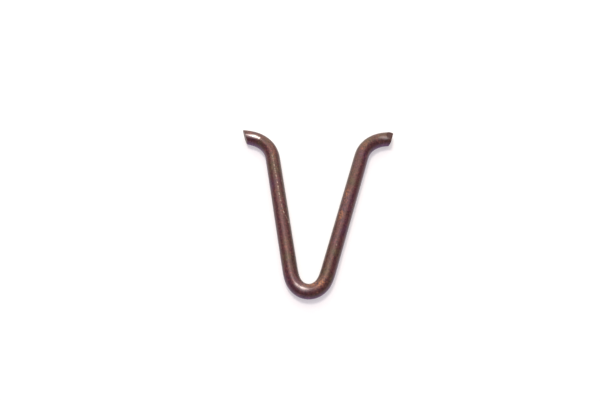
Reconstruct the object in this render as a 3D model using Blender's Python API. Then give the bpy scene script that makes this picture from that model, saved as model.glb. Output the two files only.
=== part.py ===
"""A V-shaped spring clip bent from one length of round steel wire.

The clip lies flat: the V is in the XY plane and opens towards +Y, and the wire rests on Z = 0. The origin is
on that resting surface, under the middle of the bow. Lengths are in metres. Angles are in degrees where they
are named, and in radians inside the functions.

The wire is one piece on a real clip. It is modelled as a bow and two arms because the arms flex about the
ends of the bow's bend, and each arm's origin lies on the axis that it flexes about.
"""

import math

import bmesh
import bpy
import numpy as np
from mathutils import Matrix, Vector

# Wire
WIRE_DIAMETER = 0.0032

# The bow, which is the rounded bottom of the V
BOW_LENGTH = 0.0164             # wire in the bend, from leg to leg
SPREAD_DEG = 23.5               # angle between the two legs
BOW_EASE = 0.5                  # share of the bend over which its curvature rises, and again falls

# The legs and their out-turned hooks
LEG_LENGTH = {"left": 0.0258, "right": 0.0275}
HOOK_LENGTH = 0.0102            # wire in a hook's bend
HOOK_DEG = {"left": 69.0, "right": 71.3}
HOOK_EASE = 0.25
TIP_LENGTH = {"left": 0.0002, "right": 0.0001}     # straight wire past the hook's bend

# Sheared ends: each face is turned from square across the wire, about the two directions across it
END_SLANT_DEG = {"left": 30.0, "right": 22.0}       # the outer side of the hook is left the longest
END_UNDERCUT_DEG = {"left": 0.0, "right": 16.0}
BEVEL_TILT_DEG = 50.5           # second cutter mark on the upper side of the right end
BEVEL_SLANT_DEG = 4.4
BEVEL_HEIGHT = 0.00047          # the bevel meets the end face this far above the wire's axis

# Where an arm flexes, and the gap between its solid and the bow's
FLEX_INSET = 0.0006             # up the leg from the end of the bow's bend
SEAM_GAP = 0.0003

# Facets of the modelled wire
BEVEL_RESOLUTION = 6
WIRE_SIDES = 4 + 2 * BEVEL_RESOLUTION       # flats around the wire, one of them underneath
SEGMENT_LENGTH = 0.0006         # along a bend
INTEGRATION_STEP = 0.00002
WELD_DISTANCE = 0.000001

WIRE_RADIUS = WIRE_DIAMETER / 2
FLEX_DISTANCE = BOW_LENGTH / 2 + FLEX_INSET
OUTWARDS = {"left": -1.0, "right": 1.0}
ROOT_NAME = "wire_rail_clip"

# Finish
WIRE_COLOUR = (0.060, 0.032, 0.027, 1.0)
WIRE_ROUGHNESS = 0.38
WIRE_METALLIC = 0.75


def turned(share, ease):
    """Share of a bend's angle that is turned after a share of its length.

    The curvature rises over the first part of the bend as half a cosine wave, stays constant, and falls over
    the last part in the same way. This is its integral, scaled to end at 1.
    """
    share = np.clip(share, 0.0, 1.0)
    near = np.minimum(share, 1.0 - share)
    rising = near / 2 - ease / (2 * math.pi) * np.sin(math.pi * near / ease)
    steady = near - ease / 2
    area = np.where(near < ease, rising, steady) / (1.0 - ease)
    return np.where(share <= 0.5, area, 1.0 - area)


def heading(side, distance):
    """Direction of the wire in the plane, as an angle from outwards, at distances from the bow's middle."""
    bow_turn = math.pi - math.radians(SPREAD_DEG)
    hook_start = BOW_LENGTH / 2 + LEG_LENGTH[side]
    in_bow = turned(0.5 + distance / BOW_LENGTH, BOW_EASE) - 0.5
    in_hook = turned((distance - hook_start) / HOOK_LENGTH, HOOK_EASE)
    return bow_turn * in_bow - math.radians(HOOK_DEG[side]) * in_hook


def centreline(side, distances):
    """Points on the wire's centreline at distances from the bow's middle, which is at the object's middle."""
    steps = np.arange(0.0, max(distances) + 2 * INTEGRATION_STEP, INTEGRATION_STEP)
    middles = heading(side, steps[:-1] + INTEGRATION_STEP / 2)
    across = np.concatenate(([0.0], np.cumsum(np.cos(middles)))) * INTEGRATION_STEP
    along = np.concatenate(([0.0], np.cumsum(np.sin(middles)))) * INTEGRATION_STEP
    x = OUTWARDS[side] * np.interp(distances, steps, across)
    y = np.interp(distances, steps, along)
    return [Vector((px, py, WIRE_RADIUS)) for px, py in zip(x, y)]


def direction(side, distance):
    """Unit vector along the wire, away from the bow."""
    angle = float(heading(side, np.array(distance)))
    return Vector((OUTWARDS[side] * math.cos(angle), math.sin(angle), 0.0))


def bend_distances(start, end):
    """Even distances along the wire through a bend, both ends included."""
    segments = math.ceil((end - start) / SEGMENT_LENGTH)
    return list(np.linspace(start, end, segments + 1))


def browned_steel(name):
    """Steel wire under a thin, worn brown oxide."""
    material = bpy.data.materials.new(name)
    material.use_nodes = True
    shader = material.node_tree.nodes["Principled BSDF"]
    shader.inputs["Base Color"].default_value = WIRE_COLOUR
    shader.inputs["Roughness"].default_value = WIRE_ROUGHNESS
    shader.inputs["Metallic"].default_value = WIRE_METALLIC
    return material


def wire(name, points, origin, collection):
    """A round wire with closed ends through the points, as a curve whose object sits at the origin given.

    The curve's section is turned by half a flat, so that one of its flats lies underneath, and it is drawn
    around the true circle, so that the wire measures its full diameter across its flats.
    """
    half_flat = math.pi / WIRE_SIDES
    curve = bpy.data.curves.new(name, "CURVE")
    curve.dimensions = "3D"
    curve.twist_mode = "Z_UP"
    curve.bevel_depth = WIRE_RADIUS / math.cos(half_flat)
    curve.bevel_resolution = BEVEL_RESOLUTION
    curve.use_fill_caps = True
    spline = curve.splines.new("POLY")
    spline.points.add(len(points) - 1)
    spline.use_smooth = True
    for spline_point, point in zip(spline.points, points):
        spline_point.co = (*(point - origin), 1.0)
        spline_point.tilt = half_flat
    wire_object = bpy.data.objects.new(name, curve)
    wire_object.location = origin
    collection.objects.link(wire_object)
    return wire_object


def as_mesh(curve_object):
    """Replace a curve object by the mesh that it makes, with its caps welded on."""
    bpy.context.view_layer.update()
    evaluated = curve_object.evaluated_get(bpy.context.evaluated_depsgraph_get())
    mesh = bpy.data.meshes.new_from_object(evaluated)
    name = curve_object.name
    placed = curve_object.matrix_world.copy()
    collection = curve_object.users_collection[0]
    bpy.data.objects.remove(curve_object)
    welded = bmesh.new()
    welded.from_mesh(mesh)
    bmesh.ops.remove_doubles(welded, verts=welded.verts, dist=WELD_DISTANCE)
    bmesh.ops.recalc_face_normals(welded, faces=welded.faces)
    welded.to_mesh(mesh)
    welded.free()
    mesh.name = name
    mesh.shade_smooth()
    mesh.set_sharp_from_angle(angle=math.radians(40.0))
    mesh_object = bpy.data.objects.new(name, mesh)
    mesh_object.matrix_world = placed
    collection.objects.link(mesh_object)
    return mesh_object


def end_cutter(name, point, normal, collection):
    """A block whose inner face passes through the point, square to the normal, which points off the wire."""
    size = 4 * WIRE_DIAMETER
    bpy.ops.mesh.primitive_cube_add(size=size)
    block = bpy.context.active_object
    block.name = name
    turn = Vector((1.0, 0.0, 0.0)).rotation_difference(normal).to_matrix().to_4x4()
    block.matrix_world = Matrix.Translation(point + normal * size / 2) @ turn
    for owner in list(block.users_collection):
        owner.objects.unlink(block)
    collection.objects.link(block)
    block.hide_render = True
    block.display_type = "WIRE"
    return block


def cut(target, cutter):
    difference = target.modifiers.new(cutter.name, "BOOLEAN")
    difference.operation = "DIFFERENCE"
    difference.solver = "EXACT"
    difference.object = cutter


def make_bow(collection):
    """The bend at the bottom of the V, with a little of each leg."""
    reach = FLEX_DISTANCE - SEAM_GAP / 2
    bend = bend_distances(0.0, BOW_LENGTH / 2) + [reach]
    left = centreline("left", np.array(bend))
    right = centreline("right", np.array(bend))
    points = left[::-1] + right[1:]
    middle = centreline("right", np.array([0.0]))[0]
    bow = wire("bow", points, middle, collection)
    bow.data.materials.append(browned_steel("browned_steel_bow"))
    return as_mesh(bow)


def make_arm(side, collection, cutters):
    """One leg with its hook, from the seam at the bow to its sheared end."""
    start = FLEX_DISTANCE + SEAM_GAP / 2
    hook_start = BOW_LENGTH / 2 + LEG_LENGTH[side]
    hook_end = hook_start + HOOK_LENGTH
    tip = hook_end + TIP_LENGTH[side]
    spare = tip + WIRE_DIAMETER
    stations = np.array([start] + bend_distances(hook_start, hook_end) + [spare])
    pivot = centreline(side, np.array([FLEX_DISTANCE]))[0]
    arm = wire(f"{side}_arm", centreline(side, stations), pivot, collection)
    arm.data.materials.append(browned_steel(f"browned_steel_{side}"))
    arm = as_mesh(arm)

    along = direction(side, tip)
    outer = Vector((-OUTWARDS[side] * along.y, OUTWARDS[side] * along.x, 0.0))
    up = Vector((0.0, 0.0, 1.0))
    end_point = centreline(side, np.array([tip]))[0]
    slant = math.tan(math.radians(END_SLANT_DEG[side]))
    undercut = math.tan(math.radians(END_UNDERCUT_DEG[side]))
    end_normal = (along - outer * slant - up * undercut).normalized()
    cut(arm, end_cutter(f"{side}_end_cutter", end_point, end_normal, cutters))
    if side == "right":
        tilt = math.tan(math.radians(BEVEL_TILT_DEG))
        bevel_slant = math.tan(math.radians(BEVEL_SLANT_DEG))
        bevel_normal = (along + outer * bevel_slant + up * tilt).normalized()
        bevel_point = end_point + up * BEVEL_HEIGHT + along * (undercut * BEVEL_HEIGHT)
        cut(arm, end_cutter("right_bevel_cutter", bevel_point, bevel_normal, cutters))
    return arm


def main():
    for old in list(bpy.data.objects):
        bpy.data.objects.remove(old)
    parts = bpy.data.collections.new(ROOT_NAME)
    cutters = bpy.data.collections.new("cutters")
    bpy.context.scene.collection.children.link(parts)
    bpy.context.scene.collection.children.link(cutters)

    frame = bpy.data.objects.new(f"{ROOT_NAME}_frame", None)
    parts.objects.link(frame)
    pieces = [make_bow(parts)]
    for side in ("left", "right"):
        pieces.append(make_arm(side, parts, cutters))
    for piece in pieces:
        piece.parent = frame


main()
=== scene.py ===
import math
import bpy
import numpy as np
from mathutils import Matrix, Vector


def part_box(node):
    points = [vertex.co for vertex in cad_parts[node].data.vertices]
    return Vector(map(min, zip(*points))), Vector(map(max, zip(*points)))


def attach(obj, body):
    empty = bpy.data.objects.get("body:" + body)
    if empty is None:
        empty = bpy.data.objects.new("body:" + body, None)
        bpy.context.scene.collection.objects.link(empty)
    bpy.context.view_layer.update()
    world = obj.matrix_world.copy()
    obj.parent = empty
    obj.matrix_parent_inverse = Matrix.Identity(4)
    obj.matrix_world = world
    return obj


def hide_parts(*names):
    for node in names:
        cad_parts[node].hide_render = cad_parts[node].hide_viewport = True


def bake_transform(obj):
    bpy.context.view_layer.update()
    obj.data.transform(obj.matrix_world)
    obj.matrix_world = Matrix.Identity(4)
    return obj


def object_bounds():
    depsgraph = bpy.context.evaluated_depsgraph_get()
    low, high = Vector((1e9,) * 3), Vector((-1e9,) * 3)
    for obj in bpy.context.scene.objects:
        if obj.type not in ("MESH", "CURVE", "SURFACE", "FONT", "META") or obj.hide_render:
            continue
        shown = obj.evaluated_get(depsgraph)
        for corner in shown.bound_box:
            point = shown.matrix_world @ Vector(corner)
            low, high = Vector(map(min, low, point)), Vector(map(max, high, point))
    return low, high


# V-shaped spring clip, bent from one length of round browned steel wire, lying on pale paper
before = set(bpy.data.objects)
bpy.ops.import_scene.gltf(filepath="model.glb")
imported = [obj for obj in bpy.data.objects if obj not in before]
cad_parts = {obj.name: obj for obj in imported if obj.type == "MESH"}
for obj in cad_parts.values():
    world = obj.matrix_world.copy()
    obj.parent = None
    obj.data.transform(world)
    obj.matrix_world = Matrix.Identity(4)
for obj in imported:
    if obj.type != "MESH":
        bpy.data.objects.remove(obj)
cadBox = [list(corner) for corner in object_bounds()]

mm = 0.001

# The wire's bends, the same as the CAD part's. Pairs are for the left side and the right
wire = {
    "radius": (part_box("bow")[1].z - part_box("bow")[0].z) / 2,
    "bowLength": 16.4 * mm,     # wire in the bow's bend
    "spread": 23.5,             # degrees between the legs
    "bowEase": 0.5,             # share of the bend over which its curvature rises, and falls
    "legLength": (25.8 * mm, 27.5 * mm),
    "hookLength": 10.2 * mm,
    "hookTurn": (69.0, 71.3),   # degrees
    "hookEase": 0.25,
    "tipLength": (0.2 * mm, 0.1 * mm),  # straight wire past a hook's bend
    "flexInset": 0.6 * mm,      # from the end of the bow's bend to where an arm starts
    "step": 0.02 * mm,          # of the sum along the centreline
}
seam = wire["bowLength"] / 2 + wire["flexInset"]
tips = [wire["bowLength"] / 2 + leg + wire["hookLength"] + tip
        for leg, tip in zip(wire["legLength"], wire["tipLength"])]


def bySide(distance, pair):
    return np.where(distance < 0, pair[0], pair[1])


# Share of a bend's angle turned after a share of its length: the curvature rises as half a cosine
# wave over the ease, stays level and falls the same way, and this is its integral scaled to end at 1
def turned(share, ease):
    share = np.clip(share, 0.0, 1.0)
    near = np.minimum(share, 1.0 - share)
    rising = near / 2 - ease / (2 * math.pi) * np.sin(math.pi * near / ease)
    area = np.where(near < ease, rising, near - ease / 2) / (1.0 - ease)
    return np.where(share <= 0.5, area, 1.0 - area)


# Angle of the wire in the plane at a signed distance from the bow's middle, minus to the left:
# the bow turns it by a half turn less the spread, and each hook turns it back outwards
def heading(distance):
    inBow = turned(0.5 + distance / wire["bowLength"], wire["bowEase"]) - 0.5
    hookStart = wire["bowLength"] / 2 + bySide(distance, wire["legLength"])
    inHook = turned((np.abs(distance) - hookStart) / wire["hookLength"], wire["hookEase"])
    hookTurn = np.radians(bySide(distance, wire["hookTurn"]))
    return (math.pi - math.radians(wire["spread"])) * inBow - np.sign(distance) * hookTurn * inHook


# Centreline: running sums of the cosine and the sine of the heading, both nil at the bow's middle
reach = max(tips) + 3 * wire["radius"]
stations = np.arange(-reach, reach, wire["step"])
middles = heading(stations + wire["step"] / 2)
acrossSum = np.cumsum(np.cos(middles)) * wire["step"]
alongSum = np.cumsum(np.sin(middles)) * wire["step"]
sumStations = stations + wire["step"]


def centreline(distance):
    x = np.interp(distance, sumStations, acrossSum) - np.interp(0.0, sumStations, acrossSum)
    y = np.interp(distance, sumStations, alongSum) - np.interp(0.0, sumStations, alongSum)
    return x, y


# A point of the wire: the centreline's point plus an offset in the section, whose first part lies in
# the plane towards the inside of the V and whose second part is upwards
def inWire(distance, inward, upward):
    x, y = centreline(distance)
    angle = heading(distance)
    return np.stack([x - np.sin(angle) * inward, y + np.cos(angle) * inward,
                     wire["radius"] + upward + 0 * x], axis=-1)


# Small marks of making and use. Distances run along the wire from the bow's middle, minus to the left,
# and angles go round it: 0 faces into the V, 90 is on top
marks = {
    "seed": 11,
    "pits": 260,
    "pitSize": (0.07 * mm, 0.24 * mm),
    "pitDepth": (0.003 * mm, 0.014 * mm),
    "waveDepth": 0.010 * mm,    # slow unevenness of the drawn wire
    "waves": [                  # radians a millimetre along, waves round the wire, phase
        (0.83, 2, 0.0), (1.37, -3, 1.0), (2.31, 1, 2.2), (0.41, -1, 0.5),
    ],
    "nicks": [                  # distance, angle, length, depth
        (-28.1 * mm, 43, 0.26 * mm, 0.040 * mm),
        (-17.5 * mm, 39, 0.34 * mm, 0.045 * mm),
        (-23.7 * mm, 58, 0.20 * mm, 0.022 * mm),
        (-34.5 * mm, 93, 0.24 * mm, 0.030 * mm),
        (23.0 * mm, 124, 0.22 * mm, 0.024 * mm),
        (29.6 * mm, 70, 0.20 * mm, 0.020 * mm),
        (12.5 * mm, 100, 0.26 * mm, 0.022 * mm),
    ],
    "scratchAlong": (-34.9 * mm, -28.7 * mm, -23.9 * mm, -20.4 * mm, -18.4 * mm, -17.4 * mm),
    "scratchAngle": (93, 87, 86, 79, 55, 24),
    "scratchWidth": 0.075 * mm,
    "scratchDepth": 0.010 * mm,
    "rhythm": [(4.1, 0.0), (6.7, 1.3), (11.9, 0.4)],    # radians a millimetre, phase
    "rhythmLevel": 0.35,
    "rhythmSwing": 0.4,
    "nickSlimness": 3.2,        # a nick's length over its half width
    "nickShine": 0.03 * mm,     # depth from which a nick is bright
    "clear": 0.35 * mm,         # plain wire beside a seam
    "fade": 1.6 * mm,           # marks die out over this length past it
}


def aroundGap(angle, centre):   # shortest way round, in radians
    return (angle - centre + math.pi) % (2 * math.pi) - math.pi


# Nil at the seams and rising to 1 as a smooth step, so that the pieces meet exactly
def awayFromSeams(distance):
    gap = np.abs(np.abs(distance) - seam)
    share = np.clip((gap - marks["clear"]) / marks["fade"], 0.0, 1.0)
    return share * share * (3 - 2 * share)


# The scratch: a bell across its path, times a broken rhythm along it from three cosine waves
def scratch(distance, angle):
    path = np.radians(np.interp(distance, marks["scratchAlong"], marks["scratchAngle"]))
    across = aroundGap(angle, path) * wire["radius"] / marks["scratchWidth"]
    ends = (distance > marks["scratchAlong"][0]) & (distance < marks["scratchAlong"][-1])
    d = distance / mm
    rhythm = sum(np.cos(rate * d + phase) for rate, phase in marks["rhythm"])
    level = np.clip(marks["rhythmLevel"] + marks["rhythmSwing"] * rhythm, 0.0, 1.0)
    return ends * np.exp(-across ** 2) * level


# Nicks: for each, a bell in the unrolled skin of the wire, longer than it is wide
def nicks(distance, angle):
    total = 0 * distance
    for place, turn, length, depth in marks["nicks"]:
        along = (distance - place) / (length / 2)
        across = aroundGap(angle, math.radians(turn)) * wire["radius"] / (length / marks["nickSlimness"])
        total = total + depth * np.exp(-along ** 2 - across ** 2)
    return total


# How far the skin lies inside the true round: slow waves, pits, nicks and the scratch together
def sunken(distance, angle):
    d = distance / mm
    waves = sum(np.cos(rate * d + around * angle + phase) for rate, around, phase in marks["waves"])
    depth = marks["waveDepth"] * (0.5 + waves / (2 * len(marks["waves"])))
    rng = np.random.default_rng(marks["seed"])
    for _ in range(marks["pits"]):
        place = rng.uniform(-tips[0], tips[1])
        turn = rng.uniform(0, 2 * math.pi)
        size = rng.uniform(*marks["pitSize"])
        deep = rng.uniform(*marks["pitDepth"])
        gap = ((distance - place) / size) ** 2 + (aroundGap(angle, turn) * wire["radius"] / size) ** 2
        depth = depth + deep * np.exp(-gap)
    depth = depth + nicks(distance, angle) + marks["scratchDepth"] * scratch(distance, angle)
    return depth * awayFromSeams(distance)


# Where the oxide is rubbed through to a coppery tone, and where the wire is polished bright under a pale
# painted highlight where the key light's highlight falls: distance, angle, length along, width round,
# strength
rubbed = [
    (25.2 * mm, 64, 1.5 * mm, 0.50 * mm, 0.9),
    (19.9 * mm, 63, 1.2 * mm, 0.45 * mm, 1.0),
    (3.2 * mm, 91, 1.2 * mm, 0.60 * mm, 1.0),
    (0.9 * mm, 60, 1.7 * mm, 0.45 * mm, 0.8),
    (38.8 * mm, 84, 1.2 * mm, 0.50 * mm, 0.4),
    (-35.7 * mm, 76, 1.5 * mm, 0.50 * mm, 0.4),
    (-11.6 * mm, 90, 1.3 * mm, 0.45 * mm, 0.3),
]
# Polished spots that also carry a pale painted highlight
polishedAndHighlight = [
    (-42.9 * mm, 105, 0.90 * mm, 0.34 * mm, 0.45),
    (-41.8 * mm, 100, 0.80 * mm, 0.34 * mm, 1.0),
    (-40.8 * mm, 100, 0.24 * mm, 0.24 * mm, 0.9),
    (-2.4 * mm, 104, 0.50 * mm, 0.30 * mm, 0.3),
    (-0.9 * mm, 99, 0.95 * mm, 0.50 * mm, 0.45),
    (43.6 * mm, 103, 0.80 * mm, 0.30 * mm, 0.25),
    (44.5 * mm, 116, 0.70 * mm, 0.28 * mm, 0.35),
]


# Each spot is a bell in the unrolled skin of the wire
def spots(distance, angle, places):
    total = 0 * distance
    for place, turn, length, width, strength in places:
        along = (distance - place) / length
        across = aroundGap(angle, math.radians(turn)) * wire["radius"] / width
        total = total + strength * np.exp(-along ** 2 - across ** 2)
    return np.clip(total, 0.0, 1.0)


skinGrid = {
    "sides": 96,                # points round the wire
    "rowGap": 0.13 * mm,        # between rows along it
    "sharpFrom": 50,            # degrees between faces from which an edge is drawn sharp
}
turns = np.arange(skinGrid["sides"]) * 2 * math.pi / skinGrid["sides"]


# A closed skin from rows of points with a pole at each end. Each corner of a row joins the next row,
# and the first and last rows close on their poles. The sign of the enclosed volume says whether the
# faces have to be turned round
def closedSkin(name, rows, firstPole, lastPole, facts):
    count, sides = rows.shape[:2]
    points = np.concatenate([rows.reshape(-1, 3), [firstPole, lastPole]])
    index = np.arange(count * sides).reshape(count, sides)
    nextSide = np.roll(index, -1, axis=1)
    quads = np.stack([index[:-1], index[1:], nextSide[1:], nextSide[:-1]], axis=-1).reshape(-1, 4)
    poles = np.full(sides, count * sides)
    firstFan = np.stack([poles, index[0], nextSide[0]], axis=-1)
    lastFan = np.stack([poles + 1, nextSide[-1], index[-1]], axis=-1)
    a, b, c, d = (points[quads[:, k]] for k in range(4))
    volume = np.sum(a * np.cross(b, c)) + np.sum(a * np.cross(c, d))
    faces = quads.tolist() + firstFan.tolist() + lastFan.tolist()
    if volume < 0:
        faces = [face[::-1] for face in faces]
    mesh = bpy.data.meshes.new(name)
    mesh.from_pydata(points.tolist(), [], faces)
    for label, values in facts.items():
        kind, field = ("FLOAT_VECTOR", "vector") if values.ndim == 2 else ("FLOAT", "value")
        layer = mesh.attributes.new(label, kind, "POINT")
        layer.data.foreach_set(field, values.astype(np.float32).ravel())
    mesh.shade_smooth()
    mesh.set_sharp_from_angle(angle=math.radians(skinGrid["sharpFrom"]))
    mesh.validate()
    mesh.update()
    skin = bpy.data.objects.new(name, mesh)
    bpy.context.scene.collection.objects.link(skin)
    return skin


# The wire's own place for a point, as if it were pulled straight: distance along, then the section.
# Every pattern of the finish reads this, so it follows the bends
def wirePlaces(distance, inward, upward):
    return np.stack([distance, inward, upward], axis=-1).reshape(-1, 3)


# Where the underside is painted purple, as a painted reflection of the paper and the dim room in front
paintedUnderside = {
    "from": 0.9,                # millimetres above the wire's middle, where it starts
    "over": 1.1,                # it is full this many millimetres lower
    "lostOnLegs": 0.75,         # share lost halfway up a leg
}


# Share of the purple painted reflection on the underside: it rises over the lower part of the section,
# and fades along the legs as an arch that is 4 x (1 - x) of the share x along the leg
def paintedUndersideShare(distance, upward):
    low = np.clip((paintedUnderside["from"] - upward / mm) / paintedUnderside["over"], 0.0, 1.0)
    alongLeg = (np.abs(distance) - wire["bowLength"] / 2) / bySide(distance, wire["legLength"])
    leg = np.clip(4 * alongLeg * (1 - alongLeg), 0.0, 1.0)
    return low * (1 - paintedUnderside["lostOnLegs"] * leg)


# A value at every point of the rows, then at the two poles
def withPoles(values, first=0, last=0):
    return np.concatenate([values.ravel(), [first, last]])


# What the finish has to know at each point of the skin
def wireFacts(distance, inward, upward, sheared, poles):
    angle = np.arctan2(upward, inward)
    bright = scratch(distance, angle) + nicks(distance, angle) / marks["nickShine"]
    return {
        "straightened": np.concatenate([wirePlaces(distance, inward, upward), poles]),
        "painted_underside": withPoles(paintedUndersideShare(distance, upward)),
        "rubbed": withPoles(spots(distance, angle, rubbed)),
        "polishedAndHighlight": withPoles(spots(distance, angle, polishedAndHighlight)),
        "scratched": withPoles(awayFromSeams(distance) * np.clip(bright, 0, 1)),
        "sheared": withPoles(sheared, last=sheared[-1, 0]),
    }


# The bow and a little of each leg: a round of the wire's radius, less what is sunken, at every
# distance between the seams
def makeBow():
    count = math.ceil(2 * seam / skinGrid["rowGap"]) + 1
    distance, angle = np.meshgrid(np.linspace(-seam, seam, count), turns, indexing="ij")
    radius = wire["radius"] - sunken(distance, angle)
    inward, upward = radius * np.cos(angle), radius * np.sin(angle)
    ends = np.array([[-seam, 0, 0], [seam, 0, 0]])
    poles = inWire(ends[:, 0], ends[:, 1], ends[:, 2])
    facts = wireFacts(distance, inward, upward, 0 * distance, ends)
    return closedSkin("wire_bow", inWire(distance, inward, upward), poles[0], poles[1], facts)


# Sheared ends. Slopes are degrees from square across the wire
shear = {
    "slant": (30.0, 22.0),      # the side towards the inside of the V is left the longest
    "undercut": (0.0, 16.0),
    "bevelTilt": 50.5,          # second cutter mark, on the upper side of the right end
    "bevelSlant": 4.4,
    "bevelHeight": 0.47 * mm,
    "ridge": 0.07 * mm,         # softness of the ridge between the two cutter marks
    "rim": (0.10 * mm, 0.16 * mm),      # rounding of the edge all round
    "burr": (-0.20 * mm, 0.03 * mm),    # the edge spread by the cutter, or pressed in
    "burrAngle": (22, 20),
    "burrWidth": 0.55,          # radians round the edge
    "burrLength": 1.3 * mm,
    "burrPower": 4,             # it grows with this power of the distance from the wire's middle
    "run": 2.6 * mm,            # the rows bend from square to the cut over this length
    "tear": 0.012 * mm,         # height of the torn lines on the cut
    "fineTear": (0.11 * mm, 0.9 * mm),      # a radian of the fine torn lines, and of their waver
    "fineWaver": 2.0,
    "fineShare": 0.6,
    "coarseTear": (0.29 * mm, 1.7 * mm),    # a radian of the coarse ones, across and upwards
    "coarseShare": 0.4,
    "rows": (26, 9, 20),        # before the rim, round it, and over the cut
}


# How far past the tip's square section a line of the wire runs before it meets the cut. Each cutter
# plane gives a height that is linear in the section, and the lower of the two counts, with the corner
# between them rounded by half the root of their squared gap plus the ridge's square
def cutAt(side, inward, upward):
    slant = math.tan(math.radians(shear["slant"][side]))
    undercut = math.tan(math.radians(shear["undercut"][side]))
    straightCut = inward * slant + upward * undercut
    if side == 0:
        return straightCut
    bevelSlant = math.tan(math.radians(shear["bevelSlant"]))
    bevelTilt = math.tan(math.radians(shear["bevelTilt"]))
    height = shear["bevelHeight"]
    bevel = undercut * height - inward * bevelSlant - (upward - height) * bevelTilt
    gap = np.sqrt((straightCut - bevel) ** 2 + shear["ridge"] ** 2)
    return (straightCut + bevel - gap) / 2


# Height of the torn lines left on a cut: fine wavering lines plus coarse slanting ones
def torn(inward, upward):
    fineGap, waverGap = shear["fineTear"]
    acrossGap, upGap = shear["coarseTear"]
    fine = np.cos(inward / fineGap + shear["fineWaver"] * np.sin(upward / waverGap))
    coarse = np.cos(inward / acrossGap + upward / upGap)
    return shear["tear"] * (fine * shear["fineShare"] + coarse * shear["coarseShare"])


# One leg with its hook. Rows run from the seam to the cut: square ones up to the run, then rows that
# lean into the cut, a quarter turn round the rim, and rings that shrink over the cut to its middle
def makeArm(side, name):
    sign = (-1, 1)[side]
    radius, rim = wire["radius"], shear["rim"][side]
    lean, roll, face = shear["rows"]
    square = tips[side] - shear["run"]
    count = math.ceil((square - seam) / skinGrid["rowGap"]) + 1
    body = np.linspace(seam, square, count)[:, None] + 0 * turns
    rimCut = tips[side] + cutAt(side, radius * np.cos(turns), radius * np.sin(turns)) - rim
    share = (np.arange(1, lean + 1) / lean)[:, None]
    leaning = square + (rimCut - square) * share
    quarter = (np.arange(1, roll + 1) / roll)[:, None] * math.pi / 2
    rimRadius = radius - rim * (1 - np.cos(quarter)) + 0 * turns
    shrink = (1 - np.arange(1, face) / face)[:, None]
    faceRadius = (radius - rim) * shrink + 0 * turns
    plain = np.concatenate([body, leaning])
    hollow = sunken(sign * plain, turns + 0 * plain)
    roundRadius = np.concatenate([radius + 0 * plain, rimRadius, faceRadius])
    angle = turns + 0 * roundRadius
    inward, upward = roundRadius * np.cos(angle), roundRadius * np.sin(angle)
    cut = tips[side] + cutAt(side, inward, upward)
    rolled = cut[len(plain):len(plain) + roll] - rim * (1 - np.sin(quarter))
    overCut = cut[len(plain) + roll:]
    overCut = overCut + torn(inward, upward)[len(plain) + roll:] - shear["tear"]
    distance = np.concatenate([plain, rolled, overCut])
    pull = np.exp(-(cut - distance) / (shear["burrLength"] / 2))
    aroundBurr = aroundGap(angle, math.radians(shear["burrAngle"][side]))
    spread = np.exp(-(aroundBurr / shear["burrWidth"]) ** 2)
    burr = shear["burr"][side] * pull * spread * (roundRadius / radius) ** shear["burrPower"]
    sink = np.concatenate([hollow, np.zeros((roll + face - 1, len(turns)))])
    shown = roundRadius - sink + burr
    inward, upward = shown * np.cos(angle), shown * np.sin(angle)
    sheared = np.concatenate([0 * plain, np.linspace(0, 1, roll)[:, None] + 0 * turns,
                              np.ones((face - 1, len(turns)))])
    middle = tips[side] + float(cutAt(side, np.zeros(1), np.zeros(1))[0]) - shear["tear"]
    ends = np.array([[sign * seam, 0, 0], [sign * middle, 0, 0]])
    poles = inWire(ends[:, 0], ends[:, 1], ends[:, 2])
    facts = wireFacts(sign * distance, inward, upward, sheared, ends)
    return closedSkin(name, inWire(sign * distance, inward, upward), poles[0], poles[1], facts)


# sRGB hex to the linear numbers a shader takes
def colour(code):
    levels = [int(code[k:k + 2], 16) / 255 for k in (1, 3, 5)]
    return tuple(v / 12.92 if v <= 0.04045 else ((v + 0.055) / 1.055) ** 2.4 for v in levels) + (1.0,)


def addNode(tree, kind, settings=None, links=None):
    made = tree.nodes.new(kind)
    for key, value in (settings or {}).items():
        if isinstance(key, str) and hasattr(made, key):
            setattr(made, key, value)
        else:
            made.inputs[key].default_value = value
    for socket, source in (links or {}).items():
        tree.links.new(source, made.inputs[socket])
    return made


def ramp(tree, factor, stops):
    made = addNode(tree, "ShaderNodeValToRGB", None, {"Fac": factor})
    while len(made.color_ramp.elements) < len(stops):
        made.color_ramp.elements.new(0.5)
    for element, (place, shade) in zip(made.color_ramp.elements, stops):
        element.position = place
        element.color = shade
    return made.outputs["Color"]


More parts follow.
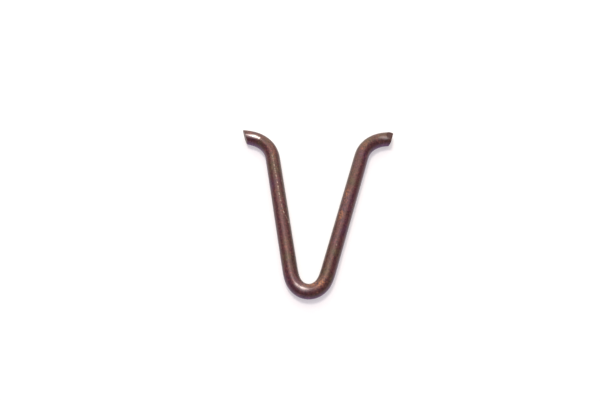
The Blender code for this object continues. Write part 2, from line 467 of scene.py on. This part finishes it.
brownedSteel = {
    "purple": "#472638",
    "red": "#4e272b",
    "brown": "#4d2b29",
    "olive": "#483426",
    # below: purple painted on the underside, a painted reflection of the paper and the dim room in front
    "below": "#5a2b60",
    # olive painted on the flanks that face into the V, a painted reflection of the room behind
    "inside": "#4a3a2b",
    "rubbedTo": "#96603a",
    # pale grey-white painted highlight on the polished spots
    "paintedHighlightTo": "#b5aeac",
    "scratchedTo": "#c9b6a6",
    "shearedTo": "#4a2a24",
    "patchSize": 3.4 * mm,
    "mottleSize": 0.42 * mm,
    "grainSize": 0.16 * mm,
    "drawLine": 0.13 * mm,
    "linePull": 0.03,           # the drawn lines' scale along the wire over that across it
    "oxideStops": {"purple": 0.30, "red": 0.44, "brown": 0.56, "olive": 0.70},
    # the olive painted reflection rises over this span from the wire's middle towards the inside of the
    # V
    "insideSpan": (0.6 * mm, 1.5 * mm),     # from the wire's middle towards the inside of the V
    "insideShare": 0.7,
    "dapple": [                 # the mottle's level, and what it multiplies the oxide's colour by
        (0.30, (0.40, 0.36, 0.42)), (0.47, (0.92, 0.92, 0.94)),
        (0.58, (1.15, 1.15, 1.1)), (0.70, (2.3, 2.2, 1.9)),
    ],
    "rubbedSpan": (0.40, 0.62),             # levels of the mottle over which a rubbed place shows
    "scratchedSpan": (0.35, 0.60),          # and levels of the grain for the scratch
    "metallic": 0.2,
    "polishedMetallic": 0.7,    # added where polished
    "roughness": 0.40,
    "roughSpan": (0.3, 0.7),    # levels of the mottle for the least and the most roughness
    "smoother": 0.07,           # taken off the roughness at the least
    "rougher": 0.08,            # and added at the most
    "shearedRoughness": 0.22,   # added on a cut
    "specular": 0.3,            # the oxide is duller than polished steel
    "coat": 0.27,               # faint gloss over the satin
    "coatRoughness": 0.22,
    "coatIor": 1.5,
    "mottleBump": (0.6, 0.05 * mm),         # strength, height
    "grainBump": (0.30, 0.012 * mm),
    "lineBump": (0.25, 0.010 * mm),
}


# Black below the first level of a factor, white above the second
def mask(tree, factor, span):
    return ramp(tree, factor, [(span[0], (0, 0, 0, 1)), (span[1], (1, 1, 1, 1))])


def attribute(tree, label, output="Fac"):
    return addNode(tree, "ShaderNodeAttribute", {"attribute_name": label}).outputs[output]


# One colour over another, by a share
def tinted(tree, share, under, over):
    return addNode(tree, "ShaderNodeMix", {"data_type": "RGBA", 7: colour(over)},
                   {0: share, 6: under}).outputs[2]


def product(tree, first, second):
    return addNode(tree, "ShaderNodeMath", {"operation": "MULTIPLY"}, {0: first, 1: second}).outputs[0]


def bump(tree, height, size, below=None):
    links = {"Height": height, "Normal": below} if below else {"Height": height}
    return addNode(tree, "ShaderNodeBump", {"Strength": size[0], "Distance": size[1]},
                   links).outputs["Normal"]


def noise(tree, place, size, detail, roughness=0.5):
    return addNode(tree, "ShaderNodeTexNoise", {"Scale": 1 / size, "Detail": detail,
                   "Roughness": roughness}, {"Vector": place}).outputs["Fac"]


# Browned steel: drawn wire under a thin hot oxide. The oxide gives a dark, warm brown that drifts to
# purple and olive, with a satin sheen tinted by it, and rubs through to a coppery tone. Painted light
# lies
# on it too: a purple painted reflection on the underside, an olive one on the flanks facing into the V,
# and pale painted highlights on polished spots
def makeBrownedSteel():
    b = brownedSteel
    material = bpy.data.materials.new("browned_steel_satin")
    material.use_nodes = True
    tree = material.node_tree
    shader = tree.nodes["Principled BSDF"]
    place = attribute(tree, "straightened", "Vector")
    rub = attribute(tree, "rubbed")
    scrape = attribute(tree, "scratched")
    cutFace = attribute(tree, "sheared")
    polishAndHighlightShare = attribute(tree, "polishedAndHighlight")
    patch = noise(tree, place, b["patchSize"], 3.0, 0.55)
    mottle = noise(tree, place, b["mottleSize"], 4.0, 0.62)
    grain = noise(tree, place, b["grainSize"], 2.0)
    pulled = addNode(tree, "ShaderNodeMapping", {"Scale": (b["linePull"], 1.0, 1.0)}, {"Vector": place})
    lines = noise(tree, pulled.outputs["Vector"], b["drawLine"], 2.0)

    oxide = ramp(tree, patch, [(level, colour(b[tone])) for tone, level in b["oxideStops"].items()])
    parts = addNode(tree, "ShaderNodeSeparateXYZ", None, {"Vector": place}).outputs
    # share of the purple painted reflection on the underside
    low = attribute(tree, "painted_underside")
    # the flanks facing into the V take the olive painted reflection
    innerPaintShare = addNode(tree, "ShaderNodeMapRange", {"From Min": b["insideSpan"][0],
                     "From Max": b["insideSpan"][1], "To Max": b["insideShare"]},
                     {"Value": parts["Y"]}).outputs["Result"]
    # the underside painted purple, standing in for reflected light
    paintedUnderTone = tinted(tree, low, oxide, b["below"])
    insideTone = tinted(tree, innerPaintShare, paintedUnderTone, b["inside"])
    dapple = ramp(tree, mottle, [(level, shade + (1,)) for level, shade in b["dapple"]])
    dappled = addNode(tree, "ShaderNodeMix", {"data_type": "RGBA", "blend_type": "MULTIPLY",
                      0: 1.0}, {6: insideTone, 7: dapple}).outputs[2]
    wear = product(tree, rub, mask(tree, mottle, b["rubbedSpan"]))
    rubbedThrough = tinted(tree, wear, dappled, b["rubbedTo"])
    cutThrough = tinted(tree, cutFace, rubbedThrough, b["shearedTo"])
    bright = product(tree, scrape, mask(tree, grain, b["scratchedSpan"]))
    scored = tinted(tree, bright, cutThrough, b["scratchedTo"])
    # painted highlight: the polished spots lightened to grey-white where the key light's highlight falls
    finish = tinted(tree, polishAndHighlightShare, scored, b["paintedHighlightTo"])
    tree.links.new(finish, shader.inputs["Base Color"])

    rough = addNode(tree, "ShaderNodeMapRange", {"From Min": b["roughSpan"][0],
                    "From Max": b["roughSpan"][1], "To Min": b["roughness"] - b["smoother"],
                    "To Max": b["roughness"] + b["rougher"]}, {"Value": mottle}).outputs["Result"]
    cutRough = addNode(tree, "ShaderNodeMath", {"operation": "MULTIPLY_ADD", 1: b["shearedRoughness"]},
                       {0: cutFace, 2: rough}).outputs[0]
    tree.links.new(cutRough, shader.inputs["Roughness"])
    metal = addNode(tree, "ShaderNodeMath", {"operation": "MULTIPLY_ADD", 1: b["polishedMetallic"],
                    2: b["metallic"]}, {0: polishAndHighlightShare}).outputs[0]
    tree.links.new(metal, shader.inputs["Metallic"])
    shader.inputs["Specular IOR Level"].default_value = b["specular"]
    shader.inputs["Coat Weight"].default_value = b["coat"]
    shader.inputs["Coat Roughness"].default_value = b["coatRoughness"]
    shader.inputs["Coat IOR"].default_value = b["coatIor"]

    coarse = bump(tree, mottle, b["mottleBump"])
    fine = bump(tree, grain, b["grainBump"], coarse)
    drawn = bump(tree, lines, b["lineBump"], fine)
    tree.links.new(drawn, shader.inputs["Normal"])
    return material


paper = {
    "shade": "#b3b4b3",
    "glow": "#fff9fb",
    "glowStrength": 0.45,
    "toothSize": 0.4 * mm,
    "toothDetail": 3.0,
    "toothBump": (0.1, 0.02 * mm),
    "roughness": 0.85,
    "specular": 0.2,
    "size": 3.0,                # of the sheet, in metres
    "cells": 8,
}


# Paper: matt, with a very faint tooth. Its even glow keeps it white and its shadows pale, as on a sheet
# that is lit from underneath
def makePaper():
    material = bpy.data.materials.new("matt_white_paper")
    material.use_nodes = True
    tree = material.node_tree
    shader = tree.nodes["Principled BSDF"]
    place = addNode(tree, "ShaderNodeTexCoord").outputs["Object"]
    tooth = noise(tree, place, paper["toothSize"], paper["toothDetail"])
    tree.links.new(bump(tree, tooth, paper["toothBump"]), shader.inputs["Normal"])
    shader.inputs["Base Color"].default_value = colour(paper["shade"])
    shader.inputs["Emission Color"].default_value = colour(paper["glow"])
    shader.inputs["Emission Strength"].default_value = paper["glowStrength"]
    shader.inputs["Roughness"].default_value = paper["roughness"]
    shader.inputs["Specular IOR Level"].default_value = paper["specular"]
    return material


steel = makeBrownedSteel()
bow = makeBow()
bow.data.materials.append(steel)
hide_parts("bow")
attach(bow, "bow")
print("bow made", len(bow.data.polygons), "faces")

for side, arm in enumerate(("left_arm", "right_arm")):
    piece = makeArm(side, "wire_" + arm)
    piece.data.materials.append(steel)
    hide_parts(arm)
    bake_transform(piece)
    print(arm, "made", len(piece.data.polygons), "faces")

bpy.ops.mesh.primitive_grid_add(x_subdivisions=paper["cells"], y_subdivisions=paper["cells"],
                                size=paper["size"])
floor = bpy.context.active_object
floor.name = "paper"
floor.data.materials.append(makePaper())

# Soft studio light. Azimuth 0 is behind the clip and 90 to its right
lights = {
    "key": {"azimuth": -33, "elevation": 75.6, "distance": 0.60, "size": (0.13, 0.13),
            "radiance": 38.0, "colour": "#fffaf4"},
    "back": {"azimuth": -9, "elevation": 38, "distance": 0.70, "size": (1.0, 1.0),
             "radiance": 2.0, "colour": "#fff3d4"},
    "top": {"azimuth": 180, "elevation": 82, "distance": 0.80, "size": (0.8, 0.6),
            "radiance": 1.5, "colour": "#fff8fc"},
}
worldShade = (0.26, 0.22, 0.32, 1.0)


def direction(azimuth, elevation):
    a, e = math.radians(azimuth), math.radians(elevation)
    return Vector((math.sin(a) * math.cos(e), math.cos(a) * math.cos(e), math.sin(e)))


corners = [Vector(corner) for corner in cadBox]
middle = (corners[0] + corners[1]) / 2
for name, light in lights.items():
    lamp = bpy.data.lights.new(name, "AREA")
    lamp.shape = "RECTANGLE"
    lamp.size, lamp.size_y = light["size"]
    lamp.energy = light["radiance"] * math.pi * lamp.size * lamp.size_y
    lamp.color = colour(light["colour"])[:3]
    holder = bpy.data.objects.new(name, lamp)
    toLight = direction(light["azimuth"], light["elevation"])
    holder.location = middle + toLight * light["distance"]
    holder.rotation_euler = toLight.to_track_quat("Z", "Y").to_euler()
    bpy.context.scene.collection.objects.link(holder)

world = bpy.data.worlds.new("studio")
world.use_nodes = True
world.node_tree.nodes["Background"].inputs["Color"].default_value = worldShade
bpy.context.scene.world = world
bpy.context.scene.view_settings.view_transform = "Standard"

# Camera: looking down at the clip from the bow's side, a little to the right of straight
view = {
    "azimuth": 3.54,
    "elevation": 58.0,
    "distance": 192.7 * mm,
    "lens": 52.8,
    "aside": (-3.064 * mm, 2.992 * mm),     # where it aims, from the middle of the clip
    "clipStart": 10 * mm,
}
camera = bpy.data.objects.new("camera", bpy.data.cameras.new("camera"))
aim = Vector((middle.x + view["aside"][0], middle.y + view["aside"][1], 0.0))
back = direction(180 - view["azimuth"], view["elevation"])
camera.location = aim + back * view["distance"]
camera.rotation_euler = (-back).to_track_quat("-Z", "Y").to_euler()
camera.data.lens = view["lens"]
camera.data.clip_start = view["clipStart"]
bpy.context.scene.collection.objects.link(camera)
bpy.context.scene.camera = camera
print("lights and camera placed")
